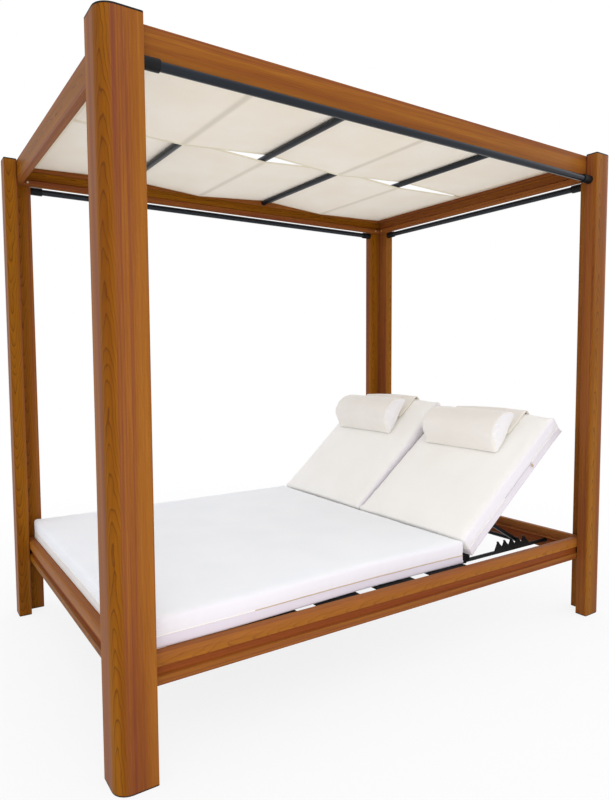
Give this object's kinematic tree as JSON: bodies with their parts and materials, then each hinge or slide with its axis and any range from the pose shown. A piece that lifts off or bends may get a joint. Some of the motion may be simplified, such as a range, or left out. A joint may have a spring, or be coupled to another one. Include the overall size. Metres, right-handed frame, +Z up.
{
  "type": "outdoor daybed with canopy",
  "caption": "Wide outdoor daybed on corner posts under a flat woven fabric canopy, with reclining backs, seat mattress, back cushions and bolsters.",
  "frame": {"origin": "on the floor under the middle of the frame", "axes": "+Z up, +X toward the head end with the reclining backs, +Y toward the right side, seen from the foot end looking to the head"},
  "size_m": [2.184, 1.526, 2],
  "materials": {
    "wood_effect_aluminium": "wood-grain powder coat, satin",
    "black_coated_aluminium": "black powder coat, satin",
    "black_coated_steel": "black powder coat, satin",
    "black_nylon": "moulded, fine grain",
    "cream_canopy_fabric": "woven acrylic, matt",
    "white_seat_fabric": "twill cover, matt",
    "ivory_back_fabric": "twill cover, matt",
    "ivory_bolster_fabric": "twill cover, matt"
  },
  "bodies": {
    "bed_frame": {"post_foot_left": "wood_effect_aluminium", "post_head_left": "wood_effect_aluminium", "post_head_right": "wood_effect_aluminium", "post_foot_right": "wood_effect_aluminium", "post_cap_foot_left": "black_nylon", "post_cap_head_left": "black_nylon", "post_cap_head_right": "black_nylon", "post_cap_foot_right": "black_nylon", "floor_plate_foot_left": "black_nylon", "floor_plate_head_left": "black_nylon", "floor_plate_head_right": "black_nylon", "floor_plate_foot_right": "black_nylon", "beam_left": "wood_effect_aluminium", "beam_head": "wood_effect_aluminium", "beam_right": "wood_effect_aluminium", "beam_foot": "wood_effect_aluminium", "rail_left": "wood_effect_aluminium", "rail_head": "wood_effect_aluminium", "rail_right": "wood_effect_aluminium", "rail_foot": "wood_effect_aluminium", "curtain_rod_left": "black_coated_aluminium", "rod_socket_left_a": "black_nylon", "rod_socket_left_b": "black_nylon", "curtain_rod_head": "black_coated_aluminium", "rod_socket_head_a": "black_nylon", "rod_socket_head_b": "black_nylon", "curtain_rod_right": "black_coated_aluminium", "rod_socket_right_a": "black_nylon", "rod_socket_right_b": "black_nylon", "shade_bar_1": "black_coated_aluminium", "shade_bar_2": "black_coated_aluminium", "shade_bar_3": "black_coated_aluminium", "shade_bar_4": "black_coated_aluminium", "shade_band_left": "cream_canopy_fabric", "shade_band_right": "cream_canopy_fabric", "deck_board_1": "black_coated_aluminium", "deck_board_2": "black_coated_aluminium", "deck_board_3": "black_coated_aluminium", "deck_board_4": "black_coated_aluminium", "deck_strip_left": "black_nylon", "deck_strip_right": "black_nylon", "seat_mattress": "white_seat_fabric", "hinge_tube": "black_coated_steel", "rack_left_outer": "black_coated_steel", "rack_left_inner": "black_coated_steel", "rack_right_outer": "black_coated_steel", "rack_right_inner": "black_coated_steel"},
    "back_left": {"back_frame_left": "black_coated_aluminium"},
    "prop_left": {"prop_left": "black_coated_aluminium"},
    "cushion_left": {"back_cushion_left": "ivory_back_fabric", "bolster_left": "ivory_bolster_fabric", "bolster_flap_left": "ivory_bolster_fabric"},
    "back_right": {"back_frame_right": "black_coated_aluminium"},
    "prop_right": {"prop_right": "black_coated_aluminium"},
    "cushion_right": {"back_cushion_right": "ivory_back_fabric", "bolster_right": "ivory_bolster_fabric", "bolster_flap_right": "ivory_bolster_fabric"}
  },
  "joints": [
    {"name": "backrest_left_hinge", "type": "hinge", "parent": "bed_frame", "child": "back_left", "pos_m": [0.35, -0.329, 0.33], "axis": [0, -1, 0], "range_deg": [-38.7, 12.3]},
    {"name": "prop_left_hinge", "type": "hinge", "parent": "back_left", "child": "prop_left", "pos_m": [0.53278, -0.329, 0.47644], "axis": [0, -1, 0], "range_deg": [-20.55, 63.58]},
    {"name": "cushion_left_slide", "type": "slide", "parent": "back_left", "child": "cushion_left", "axis": [0.7804, 0, 0.6252], "range_m": [-0.0646, 0.0208]},
    {"name": "backrest_right_hinge", "type": "hinge", "parent": "bed_frame", "child": "back_right", "pos_m": [0.35, 0.329, 0.33], "axis": [0, -1, 0], "range_deg": [-42, 9]},
    {"name": "prop_right_hinge", "type": "hinge", "parent": "back_right", "child": "prop_right", "pos_m": [0.52405, 0.329, 0.48672], "axis": [0, -1, 0], "range_deg": [-15.17, 68.96]},
    {"name": "cushion_right_slide", "type": "slide", "parent": "back_right", "child": "cushion_right", "axis": [0.7431, 0, 0.6691], "range_m": [-0.07, 0.0153]}
  ],
  "couplings": [
    {"joint": "prop_left_hinge", "follows": "backrest_left_hinge", "ratio": -1.63},
    {"joint": "cushion_left_slide", "follows": "backrest_left_hinge", "m_per_rad": 0.095},
    {"joint": "prop_right_hinge", "follows": "backrest_right_hinge", "ratio": -1.63},
    {"joint": "cushion_right_slide", "follows": "backrest_right_hinge", "m_per_rad": 0.095}
  ]
}
